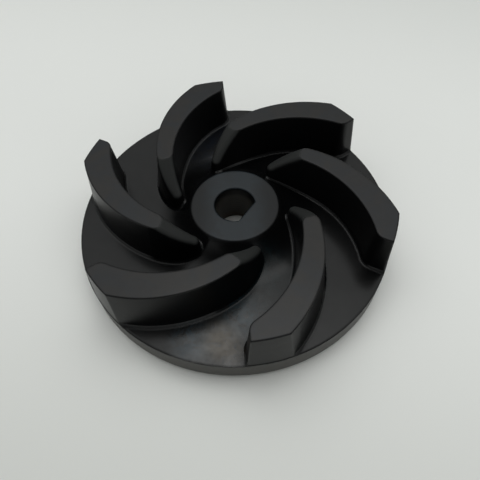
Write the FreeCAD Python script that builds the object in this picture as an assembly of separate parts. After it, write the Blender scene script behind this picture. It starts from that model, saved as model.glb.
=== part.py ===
import FreeCAD, Part
import math
import os

from collections import namedtuple
from FreeCAD import Vector

os.makedirs("parts", exist_ok=True)

# Semi-open pump impeller in one piece. The axis is +Z and the vanes stand up from the front of the disc.
# The origin is on the axis, in the plane of the back face of the hub boss. Lengths are in mm.

# Disc
disc_radius = 75.0
disc_thickness = 12.0
rim_draft = 1.7
rim_bevel = 0.7

# Hub: a boss on the back, and a flat face at the front to which the disc rises in one arc
hub_radius = 20.8
hub_rise = 8.9
hub_bevel = 0.3
sweep_width = 19.2
boss_radius = 21.0
boss_height = 2.0
boss_bevel = 0.5

# Bore for a shaft with one flat
bore_radius = 9.6
flat_depth = 2.6
flat_direction = -37.0
bore_chamfer = 0.4

# Vanes: number and height
vane_count = 6
vane_height = 22.4

# Vanes in plan, at the flat top. Each runs from a tip at the rim to a knee, and on to a nose beside the hub.
# The turns go round the axis, and the blade angles are those between a side and the way round the axis.
tip_angle = 165.3
tip_span = 12.0
tip_face_width = 6.7
tip_corner_round = 5.0
nose_turn = 62.0
nose_gap = 7.6
knee_turn = 18.4
knee_reach = 14.2
knee_width = 8.0
convex_blade_angle = 37.7
concave_blade_angle = 38.0

# Vanes: how the walls lean, in degrees, and how far the end at the rim leans back, in mm
convex_draft = 7.0
concave_draft = 3.9
nose_draft = 5.6
tip_lean = 2.0
tip_setback = 0.2

# Vanes: the ridge that runs down from the flat top to the round nose beside the hub
nose_top_radius = 1.45
ridge_length = 12.8
ridge_slope = 38.0
ridge_round = 2.3

# Where the vanes meet the disc
root_bevel = 0.9

# The body is first made larger than it is, and then cut by its turned outside
rim_stock = 10.0
vane_stock = 1.0
cap_stock = 2 * ridge_round
sink = 2.0

# Two points closer than this are taken as the same
contact = 0.01

# Heights and radii that follow
disc_base = boss_height
disc_top = disc_base + disc_thickness
hub_top = disc_top + hub_rise
vane_top = disc_top + vane_height
sweep_start = hub_radius + sweep_width
sweep_radius = (sweep_width ** 2 + hub_rise ** 2) / (2 * hub_rise)
tip_foot_radius = disc_radius - tip_setback
tip_top_radius = tip_foot_radius - tip_lean
space = 2 * (disc_radius + rim_stock)

axis = Vector(0, 0, 1)
origin = Vector(0, 0, 0)

# One side of a closed plan outline. A straight side has no centre.
Side = namedtuple("Side", "centre start end")


def polar(radius, degrees):
    angle = math.radians(degrees)
    return Vector(radius * math.cos(angle), radius * math.sin(angle), 0)


def lean(drop, degrees):
    """How far a wall with a given draft has moved out, some way below the top."""
    return drop * math.tan(math.radians(degrees))


def circle_meeting(centre_a, radius_a, centre_b, radius_b, near):
    """The crossing of two circles in plan that lies nearer to a given point."""
    span = centre_b - centre_a
    distance = span.Length
    along = (distance ** 2 + radius_a ** 2 - radius_b ** 2) / (2 * distance)
    aside = math.sqrt(radius_a ** 2 - along ** 2)
    unit = span / distance
    normal = Vector(-unit.y, unit.x, 0)
    crossings = [centre_a + unit * along + normal * aside, centre_a + unit * along - normal * aside]
    return min(crossings, key=lambda point: (point - near).Length)


def blade_centre(knee, blade_angle, tip):
    """The centre of the arc that leaves the knee at a blade angle and runs to the tip."""
    inward = math.radians(blade_angle) + math.atan2(-knee.y, -knee.x)
    way = Vector(math.cos(inward), math.sin(inward), 0)
    chord = tip - knee
    return knee + way * (chord.dot(chord) / (2 * way.dot(chord)))


def bend_radius(end, outward, nose, reach):
    """The radius of the arc that leaves a side at its end, tangent to it, and meets the nose circle.

    The nose lies inside the arc where reach is the nose radius, and outside it where that is negative.
    """
    offset = end - nose
    return (reach ** 2 - offset.dot(offset)) / (2 * (reach - outward.dot(offset)))


nose = polar(hub_radius + nose_gap, tip_angle + nose_turn)
convex_tip = polar(tip_top_radius, tip_angle)
convex_knee = polar(hub_radius + nose_gap + knee_reach, tip_angle + nose_turn - knee_turn)
convex_centre = blade_centre(convex_knee, convex_blade_angle, convex_tip)
convex_curve = (convex_knee - convex_centre).Length
convex_way = (convex_knee - convex_centre) / convex_curve
concave_knee = convex_knee - convex_way * knee_width
concave_tip = polar(tip_top_radius - tip_face_width, tip_angle - tip_span)
concave_centre = blade_centre(concave_knee, concave_blade_angle, concave_tip)
concave_curve = (concave_knee - concave_centre).Length
concave_way = (concave_knee - concave_centre) / concave_curve

# Past the rim the convex side runs on to where its foot meets a circle outside the disc
vane_reach = disc_radius + vane_stock
foot_curve = convex_curve + lean(vane_height + sink, convex_draft)
foot_end = circle_meeting(convex_centre, foot_curve, origin, vane_reach, convex_tip)
tip_way = (foot_end - convex_centre).normalize()


def vane_outline(z):
    """The sides of one vane in plan at a height z, in order, with each wall at its own draft."""
    drop = vane_top - z
    nose_radius = nose_top_radius + lean(drop, nose_draft)

    # Convex side: one long arc from the rim to the knee
    convex_radius = convex_curve + lean(drop, convex_draft)
    convex_turn = convex_centre + convex_way * convex_radius
    convex_start = convex_centre + tip_way * convex_radius

    # Concave side: one arc that ends at the round corner of the tip
    offset = lean(drop, concave_draft)
    concave_radius = concave_curve - offset
    concave_turn = concave_centre + concave_way * concave_radius

    # From both knees an arc runs tangent to the side and to the round nose
    convex_bend = bend_radius(convex_turn, convex_way, nose, nose_radius)
    convex_bend_centre = convex_turn - convex_way * convex_bend
    convex_end = nose + (nose - convex_bend_centre).normalize() * nose_radius
    concave_bend = bend_radius(concave_turn, concave_way, nose, -nose_radius)
    concave_bend_centre = concave_turn - concave_way * concave_bend
    concave_end = nose + (concave_bend_centre - nose).normalize() * nose_radius

    # Tip: a face that stands radially, with a round corner to the concave side
    radial = polar(1, tip_angle - tip_span)
    outward = Vector(radial.y, -radial.x, 0)
    beside = outward * -tip_corner_round - concave_centre
    reach = concave_curve + tip_corner_round
    along = beside.dot(radial)
    round_distance = -along + math.sqrt(along ** 2 - beside.dot(beside) + reach ** 2)
    round_centre = radial * round_distance - outward * tip_corner_round
    face_start = round_centre + outward * (tip_corner_round + offset)
    round_end = concave_centre + (round_centre - concave_centre) * (concave_radius / reach)
    face_end = radial * vane_reach + outward * offset

    sides = [
        Side(nose, concave_end, convex_end),
        Side(convex_bend_centre, convex_end, convex_turn),
        Side(convex_centre, convex_turn, convex_start),
        Side(None, convex_start, face_end),
        Side(None, face_end, face_start),
        Side(round_centre, face_start, round_end),
        Side(concave_centre, round_end, concave_turn),
        Side(concave_bend_centre, concave_turn, concave_end),
    ]
    raised = axis * z
    return [
        Side(side.centre and side.centre + raised, side.start + raised, side.end + raised)
        for side in sides
    ]


def side_curve(side):
    """The line or arc of a side, an arc by the shorter way round its centre."""
    if side.centre is None:
        return Part.LineSegment(side.start, side.end)
    radius = (side.start - side.centre).Length
    halfway = (side.start - side.centre) + (side.end - side.centre)
    return Part.Arc(side.start, side.centre + halfway.normalize() * radius, side.end)


def concentric(low, high):
    """Whether a side only grows or shrinks about its own centre from one height to another."""
    start_turn = (low.start - low.centre).getAngle(high.start - high.centre)
    end_turn = (low.end - low.centre).getAngle(high.end - high.centre)
    return max(start_turn, end_turn) * convex_curve < contact


def wall(low, high):
    """The face that a side sweeps between two heights: flat, a cone, or a ruled face."""
    if low.centre is None:
        rim = [low.start, low.end, high.end, high.start, low.start]
        if (low.end - low.start).cross(high.end - high.start).Length < contact:
            return Part.Face(Part.makePolygon(rim))
    if low.centre is None or not concentric(low, high):
        return Part.makeRuledSurface(
            side_curve(low).toBSpline().toShape(),
            side_curve(high).toBSpline().toShape(),
        )
    start = low.start - low.centre
    end = low.end - low.centre
    turn = math.degrees(math.atan2(start.cross(end).z, start.dot(end)))
    slant = Part.LineSegment(low.start, high.start).toShape()
    return slant.revolve(low.centre, axis, turn)


def tall_vane():
    """One vane with all its walls, taller than it is and longer at the rim."""
    low = vane_outline(disc_top - sink)
    high = vane_outline(vane_top + cap_stock)
    faces = [wall(*pair) for pair in zip(low, high)]
    for level in (low, high):
        faces.append(Part.Face(Part.Wire([side_curve(side).toShape() for side in level])))
    shell = Part.Shell(faces)
    shell.sewShape()
    return Part.Solid(shell)


def ridge_fall():
    """The point where the ridge leaves the flat top, and the plan direction in which it falls."""
    forward = (nose - (convex_knee + concave_knee) / 2).normalize()
    return nose - forward * ridge_length + axis * vane_top, forward


def space_over_ridge():
    """A wedge that holds all the space above the plane of the ridge."""
    knee, forward = ridge_fall()
    along = forward * space
    fall = axis * (space * math.tan(math.radians(ridge_slope)))
    side = axis.cross(forward) * space
    corners = [knee - along + fall, knee + along - fall, knee + along + fall, knee - along + fall]
    wedge = Part.Face(Part.makePolygon(corners)).extrude(side * 2)
    wedge.translate(side * -1)
    return wedge


def ridge_edges(vane):
    """The edges along both sides of the sloping ridge and round its nose."""
    knee, forward = ridge_fall()
    angle = math.radians(ridge_slope)
    normal = forward * math.sin(angle) + axis * math.cos(angle)
    slope = min(vane.Faces, key=lambda face: (face.normalAt(0, 0) - normal).Length)
    cap = vane.BoundBox.ZMax
    return [edge for edge in slope.Edges if edge.BoundBox.ZMin < cap - contact]


def vane():
    """One vane with its rounded ridge and flat top, still longer than it is at the rim."""
    sloped = tall_vane().cut(space_over_ridge())
    rounded = sloped.makeFillet(ridge_round, ridge_edges(sloped))
    over_top = Part.makeBox(space, space, space)
    over_top.translate(Vector(-space / 2, -space / 2, vane_top))
    return rounded.cut(over_top)


def turned(corners, curve=None):
    """A solid turned about the axis from a section given by its corners, with one curved part."""
    edges = [Part.LineSegment(a, b).toShape() for a, b in zip(corners, corners[1:])]
    if curve:
        edges.append(curve)
    return Part.Face(Part.Wire(edges)).revolve(origin, axis, 360)


def disc():
    """The disc with its hub, wider than it is by the stock at the rim."""
    outer = disc_radius + rim_stock
    full = math.asin(sweep_width / sweep_radius) - hub_bevel / sweep_radius
    sweep_end, halfway, hub_edge = [
        Vector(
            sweep_start - sweep_radius * math.sin(angle),
            0,
            disc_top + sweep_radius * (1 - math.cos(angle)),
        )
        for angle in (0, full / 2, full)
    ]
    corners = [
        sweep_end,
        Vector(outer, 0, disc_top),
        Vector(outer, 0, disc_base),
        Vector(boss_radius, 0, disc_base),
        Vector(boss_radius, 0, boss_bevel),
        Vector(boss_radius - boss_bevel, 0, 0),
        Vector(0, 0, 0),
        Vector(0, 0, hub_top),
        Vector(hub_radius - hub_bevel, 0, hub_top),
        hub_edge,
    ]
    body = turned(corners, Part.Arc(hub_edge, halfway, sweep_end).toShape())

    # A rising face made of splines meshes into fewer facets than a torus
    faces = []
    for face in body.Faces:
        rises = isinstance(face.Surface, Part.Toroid)
        faces += face.toNurbs().Faces if rises else [face]
    shell = Part.Shell(faces)
    shell.sewShape()
    return Part.Solid(shell)


def outside():
    """The turned outside of the impeller: the rim, and the ends of the vanes that lean in over it."""
    lower = disc_radius + lean(disc_thickness, rim_draft)
    corners = [
        Vector(0, 0, 0),
        Vector(boss_radius, 0, 0),
        Vector(boss_radius, 0, disc_base),
        Vector(lower - rim_bevel, 0, disc_base),
        Vector(lower, 0, disc_base + rim_bevel),
        Vector(disc_radius, 0, disc_top),
        Vector(tip_foot_radius, 0, disc_top),
        Vector(tip_top_radius, 0, vane_top),
        Vector(0, 0, vane_top),
        Vector(0, 0, 0),
    ]
    return turned(corners)


def on_disc_face(point):
    """Whether a point lies on the front face of the disc, on its flat or where it rises to the hub."""
    inward = max(sweep_start - math.hypot(point.x, point.y), 0)
    height = disc_top + sweep_radius - math.sqrt(sweep_radius ** 2 - inward ** 2)
    return abs(point.z - height) < contact


def middle_of(edge):
    return edge.valueAt((edge.FirstParameter + edge.LastParameter) / 2)


def root_edges(body, vanes):
    """The edges along which the vanes stand on the disc, without those in the stock at the rim."""
    walls = Part.makeCompound(vanes)
    found = []
    for edge in body.Edges:
        middle = middle_of(edge)
        inside_rim = math.hypot(middle.x, middle.y) < disc_radius
        if inside_rim and on_disc_face(middle) and walls.distToShape(Part.Vertex(middle))[0] < contact:
            found.append(edge)
    return found


def mouth_edges(body):
    """The edges of the bore in both faces of the hub."""
    found = []
    for edge in body.Edges:
        box = edge.BoundBox
        middle = middle_of(edge)
        level = box.ZLength < contact and min(abs(box.ZMin), abs(box.ZMin - hub_top)) < contact
        if level and math.hypot(middle.x, middle.y) < bore_radius + contact:
            found.append(edge)
    return found


def shaft():
    """The space of the bore: a cylinder with one flat, past both faces of the hub."""
    flat_distance = bore_radius - flat_depth
    cylinder = Part.makeCylinder(bore_radius, hub_top + 2 * sink, Vector(0, 0, -sink))
    beyond_flat = Part.makeBox(space, space, space)
    beyond_flat.translate(Vector(flat_distance, -space / 2, -space / 2))
    beyond_flat.rotate(origin, axis, flat_direction)
    return cylinder.cut(beyond_flat)


def vane_ring():
    """All the vanes in their places, evenly round the axis."""
    first = vane()
    ring = []
    for index in range(vane_count):
        copy = first.copy()
        copy.rotate(origin, axis, -360 / vane_count * index)
        ring.append(copy)
    return ring


def impeller():
    vanes = vane_ring()
    joined = disc().multiFuse(vanes)
    rooted = joined.makeChamfer(root_bevel, root_edges(joined, vanes))
    body = rooted.common(outside())
    bored = body.cut(shaft())
    return bored.makeChamfer(bore_chamfer, mouth_edges(bored))


impeller().exportStep("parts/pump_impeller.step")
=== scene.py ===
# %% [markdown]
# Pump impeller, moulded in one piece
#
# A centrifugal pump throws water outwards with a wheel like this one. The wheel is a single
# moulding: a disc, a hub with a bore for the shaft, and six swept vanes. Nothing on it moves and
# nothing is joined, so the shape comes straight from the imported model. What is left for this
# lesson is what makes a picture of a black part readable: the camera, the light that the satin
# surface mirrors, and a finish with the small differences that a real moulding has.

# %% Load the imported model
import math

import bpy
from mathutils import Matrix, Vector


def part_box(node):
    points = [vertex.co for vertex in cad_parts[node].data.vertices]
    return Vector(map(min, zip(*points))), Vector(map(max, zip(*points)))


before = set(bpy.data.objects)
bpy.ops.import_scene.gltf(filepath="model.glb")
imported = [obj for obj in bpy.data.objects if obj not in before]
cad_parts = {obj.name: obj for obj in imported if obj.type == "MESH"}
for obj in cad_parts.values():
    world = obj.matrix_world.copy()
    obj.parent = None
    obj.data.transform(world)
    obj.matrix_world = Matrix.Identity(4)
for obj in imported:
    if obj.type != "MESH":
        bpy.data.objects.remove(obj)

bpy.context.scene.view_settings.view_transform = "Standard"
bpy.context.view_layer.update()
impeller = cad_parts["pump_impeller"]
low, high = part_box("pump_impeller")
span_mm = tuple(round(side * 1000, 1) for side in high - low)
print("impeller:", len(impeller.data.polygons), "triangles,", span_mm, "mm")

# %% [markdown]
# The camera
#
# The photograph was taken from in front and above, from about 23 cm away. A camera that close
# makes the near vanes look larger than the far ones, so the distance matters as much as the
# angle. The place and tilt below were found by fitting a pinhole camera to the six equal vanes.
# The focal length is written in pixels of the 480-pixel frame, and turned into millimetres on
# Blender's 36 mm sensor.

# %% Camera
FRAME_PIXELS = 480
FOCAL_PIXELS = 438.7
SENSOR_MM = 36.0
CAMERA_PLACE = Vector((0.00184, -0.12624, 0.19004))
CAMERA_PITCH = math.radians(90 - 57.65)
CAMERA_ROLL = math.radians(-2.16)

camera_data = bpy.data.cameras.new("camera")
camera_data.sensor_width = SENSOR_MM
camera_data.lens = FOCAL_PIXELS / FRAME_PIXELS * SENSOR_MM
camera_data.clip_start = 0.01
camera = bpy.data.objects.new("camera", camera_data)
bpy.context.scene.collection.objects.link(camera)
camera.matrix_world = (
    Matrix.Translation(CAMERA_PLACE)
    @ Matrix.Rotation(CAMERA_PITCH, 4, "X")
    @ Matrix.Rotation(CAMERA_ROLL, 4, "Z")
)
bpy.context.scene.camera = camera
camera_mm = round(CAMERA_PLACE.length * 1000)
print("camera: lens", round(camera_data.lens, 1), "mm,", camera_mm, "mm from the bore")

# %% [markdown]
# Shader maths
#
# A node tree is long to write by hand. Here one small class wraps a socket, so that an
# expression such as 1 - mask * 0.5 adds its Math nodes by itself. Colours and directions go
# through Mix and Vector Math nodes, because a Math node would turn a colour grey. Every other
# node comes from Finish.node, which takes the type, the settings and the values of the sockets.


# %% Shader maths
class Value:
    """One output socket in a node tree, with arithmetic on it."""

    def __init__(self, finish, socket):
        self.finish = finish
        self.socket = socket

    def maths(self, operation, *others, clamp=False):
        settings = {"operation": operation, "use_clamp": clamp}
        inputs = dict(enumerate((self,) + others))
        return self.finish.node("ShaderNodeMath", settings, inputs)

    def __add__(self, other):
        return self.maths("ADD", other)

    __radd__ = __add__

    def __sub__(self, other):
        return self.maths("SUBTRACT", other)

    def __rsub__(self, other):
        return (self * -1) + other

    def __mul__(self, other):
        return self.maths("MULTIPLY", other)

    __rmul__ = __mul__

    def clamped(self):
        return self.maths("ADD", 0.0, clamp=True)


class Finish:
    """A material, or the room's light, that is built from expressions."""

    def __init__(self, name, made_in=bpy.data.materials, shader="Principled BSDF"):
        self.material = made_in.new(name)
        self.material.use_nodes = True
        self.tree = self.material.node_tree
        self.shader = self.tree.nodes[shader]

    def node(self, kind, settings=None, inputs=None, output=0):
        made = self.tree.nodes.new(kind)
        for name, value in (settings or {}).items():
            setattr(made, name, value)
        for name, value in (inputs or {}).items():
            self.feed(made.inputs[name], value)
        return Value(self, made.outputs[output])

    def feed(self, socket, value):
        if isinstance(value, Value):
            self.tree.links.new(value.socket, socket)
        else:
            socket.default_value = value

    def set(self, **sockets):
        for name, value in sockets.items():
            self.feed(self.shader.inputs[name.replace("_", " ")], value)

    def vector(self, operation, first, second=None, output="Vector"):
        """One step of arithmetic on whole directions or places."""
        inputs = {0: first} if second is None else {0: first, 1: second}
        return self.node("ShaderNodeVectorMath", {"operation": operation}, inputs, output)

    def parts(self, vector):
        """The x, y and z of a direction or place."""
        split = self.node("ShaderNodeSeparateXYZ", inputs={"Vector": vector})
        return [Value(self, socket) for socket in split.socket.node.outputs]

    def flat(self, place):
        """The same place with its height left out."""
        return self.vector("MULTIPLY", place, (1.0, 1.0, 0.0))

    def noise(
        self, place, size, detail=2.0, roughness=0.5, distortion=0.0, shift=(0.0, 0.0, 0.0)
    ):
        """Cloudy noise whose blobs are about one size across, in metres."""
        moved = self.node("ShaderNodeMapping", inputs={"Vector": place, "Location": shift})
        return self.node("ShaderNodeTexNoise", inputs={
            "Vector": moved, "Scale": 1.0 / size, "Detail": detail,
            "Roughness": roughness, "Distortion": distortion,
        })

    def above(self, value, start, end):
        """0 below start, 1 above end, and smooth between them."""
        return self.node("ShaderNodeMapRange", {"interpolation_type": "SMOOTHSTEP"}, {
            "Value": value, "From Min": start, "From Max": end,
        })

    def below(self, value, start, end):
        """1 below start, 0 above end, and smooth between them."""
        return 1 - self.above(value, start, end)

    def blend(self, factor, first, second):
        """Two colours mixed, the second by the factor."""
        mix = self.node("ShaderNodeMix", {"data_type": "RGBA"}, {"Factor": factor})
        inputs = [socket for socket in mix.socket.node.inputs if socket.type == "RGBA"]
        outputs = [socket for socket in mix.socket.node.outputs if socket.type == "RGBA"]
        for socket, colour in zip(inputs, (first, second)):
            self.feed(socket, colour if isinstance(colour, Value) else (*colour, 1.0))
        return Value(self, outputs[0])

    def spot(self, place, centre, radius, edge):
        """A soft round mask about a point, seen from above."""
        away = self.vector("DISTANCE", self.flat(place), (*centre, 0.0), output="Value")
        return self.below(away, radius - edge, radius + edge)


print("shader helpers: Value and Finish")

# %% [markdown]
# The table
#
# The wheel stands on a plain off-white board. It is nearly one tone, and its colour carries a
# trace of green-grey. It is painted a little darker in the near left corner and behind the
# wheel, which is painted shade for the room's light falling off there. Each of these tones is a
# soft step along one direction over the board, and further away the board is pale on every side.
# It is made as a round plate, wide enough to leave the picture. Its edge is extruded outwards
# ring by ring, and each ring rises more than the last. That makes a shallow cove, so that no
# hard horizon is mirrored in the black vanes.

# %% Table
BOARD_SIDES = 96
BOARD_RADIUS = 1.2
COVE_RINGS = 10
COVE_STEP = 0.15
COVE_RISE = 0.004
CENTRE = (0.0, 0.0, 0.0)

bpy.ops.object.select_all(action="DESELECT")
bpy.ops.mesh.primitive_circle_add(
    vertices=BOARD_SIDES, radius=BOARD_RADIUS, fill_type="NGON", location=CENTRE
)
table = bpy.context.object
table.name = "table"
bpy.ops.object.mode_set(mode="EDIT")
bpy.ops.mesh.select_mode(type="EDGE")
bpy.ops.mesh.select_all(action="SELECT")
bpy.ops.mesh.region_to_loop()
board_edge = BOARD_RADIUS
for ring in range(1, COVE_RINGS + 1):
    wider = (board_edge + COVE_STEP) / board_edge
    bpy.ops.mesh.extrude_edges_move()
    bpy.ops.transform.resize(value=(wider, wider, 1.0), center_override=CENTRE)
    bpy.ops.transform.translate(value=(0.0, 0.0, COVE_RISE * ring))
    board_edge += COVE_STEP
bpy.ops.object.mode_set(mode="OBJECT")
bpy.ops.object.shade_smooth()
print("table:", len(table.data.polygons), "faces,", round(2 * board_edge, 1), "m wide")

# %% The board's colour
BOARD_NEAR_LEFT_SHADE = (0.625, 0.635, 0.606)
BOARD_MIDDLE = (0.870, 0.880, 0.855)
BOARD_BEHIND_SHADE = (0.715, 0.73, 0.705)
BOARD_DULL = (0.78, 0.78, 0.76)
BOARD_FAR = (0.90, 0.91, 0.885)
MOTTLE_SHARE = 0.12

board = Finish("board_white")
board_place = board.node("ShaderNodeTexCoord", output="Object")
board_x, board_y = board.parts(board_place)[:2]
# Painted shade: the board is coloured darker towards the near left corner and behind the wheel.
middle = board.above(board_x * 0.22 + board_y, -0.20, 0.02)
behind = board.above(board_y + board_x * 0.3, 0.10, 0.36)
far = board.above(board.vector("LENGTH", board_place, output="Value"), 0.34, 0.60)
mottle = board.noise(board_place, size=0.05, detail=3.0)

board_colour = board.blend(middle, BOARD_NEAR_LEFT_SHADE, BOARD_MIDDLE)
board_colour = board.blend(behind, board_colour, BOARD_BEHIND_SHADE)
board_colour = board.blend(mottle * MOTTLE_SHARE, board_colour, BOARD_DULL)
board_colour = board.blend(far, board_colour, BOARD_FAR)
board.set(Base_Color=board_colour, Roughness=0.55, Specular_IOR_Level=0.3)
table.data.materials.append(board.material)
print("board:", len(board.tree.nodes), "nodes")

# %% [markdown]
# The light
#
# Black plastic shows almost only what it mirrors. The flat tops of the vanes get brighter where
# the camera looks down on them more steeply, so the brightest part of the room is overhead and a
# little behind the wheel. The slopes that face the camera are nearly black, so the room in front
# is dark, as it is where somebody stands to take the picture. The world's strength follows that:
# it depends on the direction, from a dark front to a bright back. A panel overhead stands for
# the lamp. Together they light a colour about as it is written. Only the camera sees neither:
# where it looks past the board, the Light Path node gives it a plain pale backdrop, which
# lights nothing.

# %% The room
BACK_LOW = 0.35
BACK_HIGH = 1.65
FRONT_LOW = 0.68
FRONT_HIGH = 0.05
ROOM_COLOUR = (0.98, 1.0, 0.99)
BACKDROP = (0.66, 0.675, 0.65)

room = Finish("room", bpy.data.worlds, "Background")
toward = room.node("ShaderNodeTexCoord")
toward_y, toward_z = room.parts(toward)[1:]
back = room.above(toward_y, -0.38, 0.33)
overhead = room.above(toward_z, 0.45, 0.85)
back_light = back * (BACK_LOW + (BACK_HIGH - BACK_LOW) * overhead)
front_light = (1 - back) * (FRONT_LOW + (FRONT_HIGH - FRONT_LOW) * overhead)
seen = room.node("ShaderNodeLightPath", output="Is Camera Ray")
room.set(
    Color=room.blend(seen, ROOM_COLOUR, BACKDROP),
    Strength=seen + (1 - seen) * (back_light + front_light),
)
bpy.context.scene.world = room.material
print("room: behind", BACK_LOW, "to", BACK_HIGH, "and in front", FRONT_LOW, "to", FRONT_HIGH)

# %% The panel
PANEL_SIZE = 0.6
PANEL_PLACE = Vector((0.03, 0.20, 1.2))
PANEL_POWER = 1.5
PANEL_COLOUR = (1.0, 0.995, 0.98)

panel_data = bpy.data.lights.new("panel", "AREA")
panel_data.shape = "SQUARE"
panel_data.size = PANEL_SIZE
panel_data.energy = PANEL_POWER
panel_data.color = PANEL_COLOUR
panel = bpy.data.objects.new("panel", panel_data)
bpy.context.scene.collection.objects.link(panel)
panel_turn = (-PANEL_PLACE).to_track_quat("-Z", "Y").to_matrix().to_4x4()
panel.matrix_world = Matrix.Translation(PANEL_PLACE) @ panel_turn
print("panel:", PANEL_POWER, "W,", PANEL_SIZE, "m wide")

# %% [markdown]
# Black moulded plastic
#
# The plastic itself is nearly black all through. What the eye sees is its skin: a satin gloss
# with a fine grain, clouds where the plastic ran and cooled at different rates, a thin haze of
# dried water on the open floor of the disc, and a few pale stains. The rim is duller and warmer,
# since hands and the table rub it. The sloping ridges of the vanes are rougher than the tops,
# and greyer, partly from wear and partly as a painted sheen that makes them read as fully
# rounded.
# Each of these is a mask, made here from the place on the part in metres and from the way that
# the surface faces, and each moves the colour, the roughness or the coat a little.

# %% Where each finish lies
DISC_TOP = 0.014
HUB_TOP = 0.0229
VANE_TOP = 0.0364
HUB_EDGE = 0.0208
RIM_EDGE = 0.0745
BORE_START = 0.0098
BORE_END = 0.0101

plastic = Finish("black_plastic_satin")
place = plastic.node("ShaderNodeTexCoord", output="Object")
x, y, z = plastic.parts(place)
up = plastic.parts(plastic.node("ShaderNodeTexCoord", output="Normal"))[2]
from_axis = plastic.vector("LENGTH", plastic.flat(place), output="Value")

faces_up = plastic.above(up, 0.55, 0.8)
over_disc = plastic.above(z, DISC_TOP - 0.0006, DISC_TOP - 0.0001)
under_hub = plastic.below(z, HUB_TOP - 0.002, HUB_TOP - 0.0002)
disc_floor = faces_up * over_disc * under_hub
rise = plastic.above(z, DISC_TOP + 0.0006, DISC_TOP + 0.0030)
toward_rim = plastic.above(from_axis, 0.03, 0.072)

at_hub_top = plastic.above(z, HUB_TOP - 0.0015, HUB_TOP - 0.0001)
within_hub = plastic.below(from_axis, HUB_EDGE - 0.0003, HUB_EDGE + 0.0002)
hub_face = faces_up * at_hub_top * within_hub
hub_sides = plastic.above(x.maths("ABSOLUTE"), 0.006, 0.018)

vane_tops = faces_up * plastic.above(z, VANE_TOP - 0.001, VANE_TOP - 0.0002)
over_hub = plastic.above(z, HUB_TOP + 0.0004, HUB_TOP + 0.0012)
ridges = over_hub * plastic.above(up, 0.20, 0.75) * plastic.below(up, 0.90, 0.985)

at_rim = plastic.above(from_axis, RIM_EDGE - 0.0005, RIM_EDGE + 0.0003)
rim_band = plastic.below(z, DISC_TOP - 0.0017, DISC_TOP - 0.0009) * at_rim
rim_edge = plastic.below(z, DISC_TOP - 0.0004, DISC_TOP) * at_rim

within_bore = plastic.below(from_axis, BORE_START, BORE_END)
in_bore = within_bore * plastic.below(z, HUB_TOP - 0.0006, HUB_TOP - 0.0002)
# Painted shade: the bore's grey begins a few millimetres below the mouth, so the band just under
# the mouth stays black.
bore_low = in_bore * plastic.below(z, 0.0165, 0.0195)
bore_foot = in_bore * plastic.below(z, 0.0010, 0.0060)
print("masks: disc floor, hub face, vane tops, ridges, rim and bore")

# %% [markdown]
# Rounded edges
#
# No edge of a moulding is quite sharp, and on a black part the edges carry most of what is seen.
# A Bevel node turns the surface's direction near every edge, as a round of 1.4 mm would. Where
# that direction differs from the true one there is an edge, so the difference is a mask as well.
# It marks the polished corners, where the tops' tone is left off so that the edges stay bare
# black as painted shade, and along the feet of the vanes it marks the roots, which mirror the
# bright back of the room as a thin pale line.

# %% Rounded edges
EDGE_RADIUS = 0.0014
ROOT_TOP = 0.0222
ROOT_RIM = 0.0735

edge_round = plastic.node("ShaderNodeBevel", {"samples": 10}, {"Radius": EDGE_RADIUS})
true_normal = plastic.node("ShaderNodeNewGeometry", output="True Normal")
same_way = plastic.vector("DOT_PRODUCT", edge_round, true_normal, output="Value")
edges = plastic.above(1 - same_way, 0.01, 0.10)
low_edges = plastic.above(up, 0.2, 0.5) * plastic.below(z, ROOT_TOP - 0.0012, ROOT_TOP)
inside_rim = plastic.below(from_axis, ROOT_RIM - 0.0020, ROOT_RIM)
roots = edges * low_edges * over_disc * inside_rim
print("edges and roots: rounded in the light by", EDGE_RADIUS, "m")

# %% [markdown]
# Clouds, haze and stains
#
# The unevenness comes in several sizes, from clouds of two centimetres to specks of a millimetre
# or two. The haze lies on the open floor of the disc, most of all in front and behind the hub.
# An Ambient Occlusion node finds how much of the room each spot sees, and keeps the haze and the
# stains off the feet of the walls, so that the floor stays nearly black there as painted shade.

# %% Clouds and haze
clouds = plastic.noise(place, size=0.022, detail=3.0, roughness=0.55, distortion=0.6)
speckle = plastic.noise(place, size=0.0016, detail=2.0, roughness=0.6)
blotch_noise = plastic.noise(place, size=0.0055, detail=4.0, roughness=0.65, distortion=0.5)
warm_noise = plastic.noise(
    place, size=0.016, detail=3.0, roughness=0.6, distortion=1.0, shift=(0.7, 0.2, 0.4)
)
haze_noise = plastic.noise(
    place, size=0.013, detail=4.0, roughness=0.6, distortion=0.8, shift=(0.3, 0.1, 0.0)
)
ragged = plastic.noise(
    place, size=0.004, detail=4.0, roughness=0.65, distortion=1.0, shift=(0.05, 0.2, 0.0)
)
flecks = plastic.above(speckle, 0.40, 0.60)
blotches = plastic.above(blotch_noise, 0.35, 0.65)
warmth = plastic.above(warm_noise, 0.35, 0.65)
haze_patches = plastic.above(haze_noise, 0.35, 0.65)

SKY_REACH = 0.014
# Painted shade: where little of the room is seen, at the feet of the walls, the haze, the stains
# and the coat are held back.
open_sky = plastic.node(
    "ShaderNodeAmbientOcclusion", {"samples": 8}, {"Distance": SKY_REACH}, output="AO"
)
clear_of_wall_shade = plastic.above(open_sky, 0.55, 0.95)
back_haze = plastic.spot(place, (-0.0120, 0.0430), radius=0.015, edge=0.010)
front_haze = plastic.spot(place, (-0.004, -0.062), radius=0.022, edge=0.014)
haze_amount = 0.02 + 0.03 * toward_rim + 0.14 * front_haze + 0.26 * back_haze
haze_share = haze_amount * (0.6 + 0.8 * haze_noise)
haze = disc_floor * clear_of_wall_shade * (1 - rise) * haze_share
print("clouds: 6 noises, and haze in front of the hub and behind it")

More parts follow.
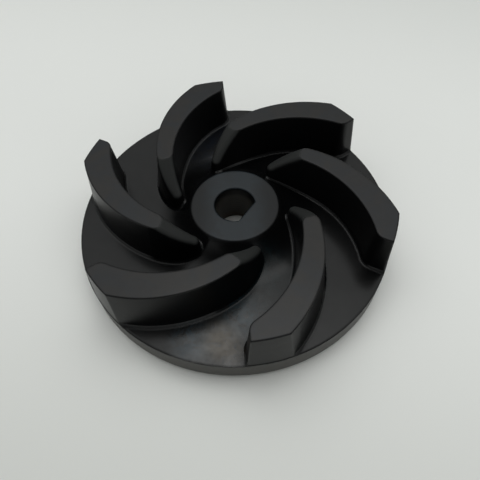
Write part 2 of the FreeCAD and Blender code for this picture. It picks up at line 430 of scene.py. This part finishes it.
# %% The colour, layer by layer
PLASTIC_BLACK = (0.0020, 0.0021, 0.0023)
TOP_WARM = (0.0070, 0.0056, 0.0044)
TOP_COOL = (0.0028, 0.0044, 0.0066)
HAZE_GREY = (0.050, 0.0505, 0.047)
# The ridge grey is partly wear and partly a painted sheen of a fuller round.
RIDGE_WEAR_AND_SHEEN = (0.0200, 0.0212, 0.0205)
HUB_BLUE = (0.0058, 0.0108, 0.0148)
RIM_GREY = (0.0440, 0.0425, 0.0380)
BORE_GREY = (0.0330, 0.0300, 0.0250)
BORE_BROWN = (0.0420, 0.0300, 0.0200)

top_tone = plastic.blend(warmth, TOP_COOL, TOP_WARM)
# Painted shade: the tops' tone is left off their rounded edges, which stay bare black.
top_share = vane_tops * (1 - edges) * (0.55 + 0.6 * blotches)
# The hub's blue clouds are its own bloom; their fading towards the left and right sides is
# painted shade.
hub_tint_and_side_shade = hub_face * (1 - 0.85 * hub_sides) * (0.4 + 0.7 * clouds + 0.5 * blotches)
rim_worn = rim_band + (rim_edge - rim_band) * plastic.above(ragged, 0.48, 0.60)
LAYERS = [
    ("vane tops", top_share, top_tone),
    ("haze", haze.clamped(), HAZE_GREY),
    ("ridges", ridges, RIDGE_WEAR_AND_SHEEN),
    ("hub face", hub_tint_and_side_shade, HUB_BLUE),
    ("rim", rim_worn * (0.7 + 0.5 * clouds), RIM_GREY),
    ("bore", bore_low, BORE_GREY),
    ("foot of the bore", bore_foot, BORE_BROWN),
]
skin = PLASTIC_BLACK
for name, mask, colour in LAYERS:
    skin = plastic.blend(mask, skin, colour)
    print("layer:", name)

# %% Stains
STAINS = [
    ("pale blue, left", (-0.0200, -0.0630), 0.0070, (0.010, 0.024, 0.034), 0.90),
    ("pale blue, middle", (0.0030, -0.0530), 0.0080, (0.007, 0.024, 0.034), 0.90),
    ("beige", (-0.0080, -0.0635), 0.0060, (0.042, 0.029, 0.010), 0.95),
    ("beige, at the rim", (-0.0040, -0.0680), 0.0050, (0.034, 0.023, 0.010), 0.85),
    ("teal, near the hub", (0.0130, -0.0340), 0.0110, (0.004, 0.012, 0.014), 0.80),
    ("blue, behind the hub", (-0.0130, 0.0480), 0.0140, (0.006, 0.009, 0.016), 0.90),
]
STAIN_SOFTNESS = 0.8
stainable = plastic.above(ragged, 0.30, 0.60) * disc_floor * open_sky * (1 - edges)
for name, centre, radius, colour, strength in STAINS:
    mask = plastic.spot(place, centre, radius, radius * STAIN_SOFTNESS) * stainable
    skin = plastic.blend((mask * strength).clamped(), skin, colour)
    print("stain:", name)

# %% [markdown]
# Gloss and grain
#
# The mould was blasted to a fine satin, so the relief is a grain of about half a millimetre, on
# slow waves of a centimetre. The tool that finished the bore left fine rings in it. The disc's
# floor and the edges are smoother than the rest, and the ridges and the rim are rougher. A thin
# clear coat stands for what is dried on and polished: its mirror image of the bright back of the
# room lifts the floor, the tops, the hub and the roots, and leaves the slopes that face the dark
# front black. The Bump node adds the relief on top of the rounded edges.

# %% Roughness
BASE_ROUGHNESS = 0.35
ROUGHER = [
    ("clouds", 0.10, clouds - 0.5),
    ("speckle", 0.06, speckle - 0.5),
    ("vane tops", -0.03, vane_tops),
    ("disc floor", -0.13, disc_floor),
    ("ridges", 0.15, ridges),
    ("edges", -0.15, edges),
    ("rim", 0.06, rim_band),
]
roughness = BASE_ROUGHNESS
for name, amount, mask in ROUGHER:
    roughness = roughness + amount * mask
    print("roughness:", name, amount)

# %% Grain, coat and the whole finish
GRAIN_HEIGHT = 0.000012
WAVE_HEIGHT = 0.00006
RING_HEIGHT = 0.00003

grain = plastic.noise(place, size=0.00045, detail=2.0, roughness=0.6)
waves = plastic.noise(place, size=0.009, detail=1.0)
rings = plastic.node("ShaderNodeTexWave", {"bands_direction": "Z"}, {
    "Vector": place, "Scale": 180.0, "Distortion": 0.6, "Detail": 1.0,
})
relief = grain * GRAIN_HEIGHT + waves * WAVE_HEIGHT + rings * bore_low * RING_HEIGHT
bumped = plastic.node("ShaderNodeBump", inputs={
    "Strength": 1.0, "Distance": 1.0, "Height": relief, "Normal": edge_round,
})

film_patches = 0.4 + 0.6 * haze_patches + 0.35 * blotches + 0.25 * flecks
floor_film = 0.02 + 0.28 * clear_of_wall_shade * front_haze + 0.20 * back_haze
top_film = 0.13 * vane_tops + 0.10 * hub_face * (1 - 0.8 * hub_sides)
film = disc_floor * floor_film * film_patches + 0.5 * roots + (1 - edges) * top_film

plastic.set(
    Base_Color=skin, Roughness=roughness, Metallic=0.0, Normal=bumped,
    IOR=1.5, Specular_IOR_Level=0.18,
    Coat_Weight=film.clamped(), Coat_Roughness=0.2, Coat_IOR=1.6,
)
impeller.data.materials.clear()
impeller.data.materials.append(plastic.material)
print("plastic:", len(plastic.tree.nodes), "nodes on", impeller.name)
